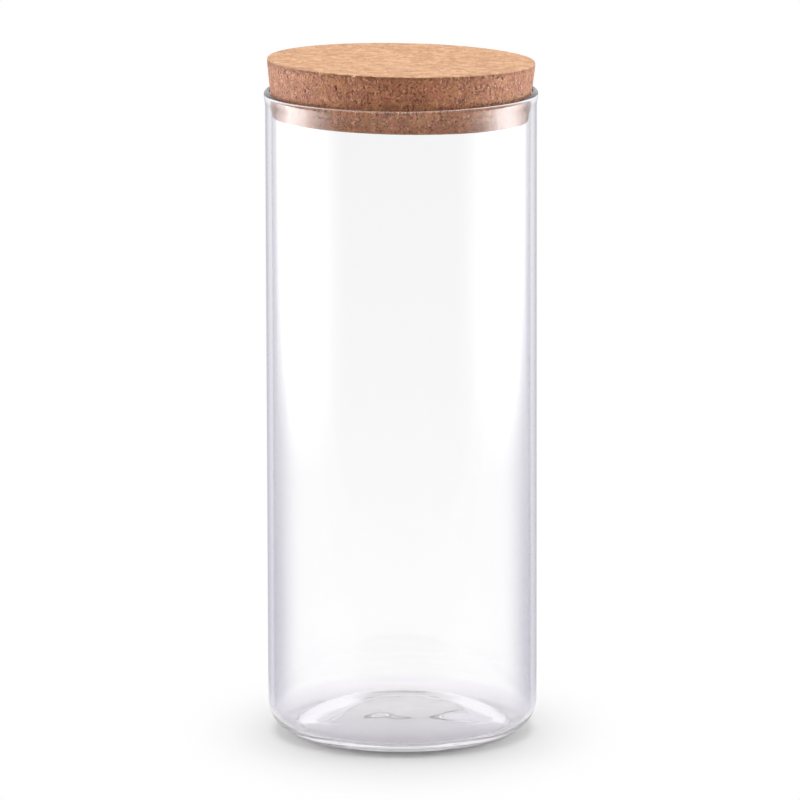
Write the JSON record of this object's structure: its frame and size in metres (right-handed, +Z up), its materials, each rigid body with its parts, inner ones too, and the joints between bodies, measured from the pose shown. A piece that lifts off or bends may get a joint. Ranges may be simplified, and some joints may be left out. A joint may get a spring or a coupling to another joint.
{
  "type": "jar with cork lid",
  "caption": "Tall round storage jar of clear glass with a rounded base, a small flared lip and a tapered cork lid that lifts off.",
  "frame": {"origin": "centre of the jar's foot, on the surface that it stands on", "axes": "+Z up along the jar's axis, from the foot to the lid; -Y towards the viewer of the picture, +X to the viewer's right"},
  "size_m": [0.1111, 0.111, 0.279],
  "materials": {
    "clear_glass": "gloss",
    "cork": "matte"
  },
  "bodies": {
    "jar": {"glass_jar": "clear_glass"},
    "lid": {"cork_lid": "cork"}
  },
  "joints": [
    {"name": "lid_lift", "type": "slide", "parent": "jar", "child": "lid", "axis": [0, 0, 1], "range_m": [0, 0.15]}
  ]
}
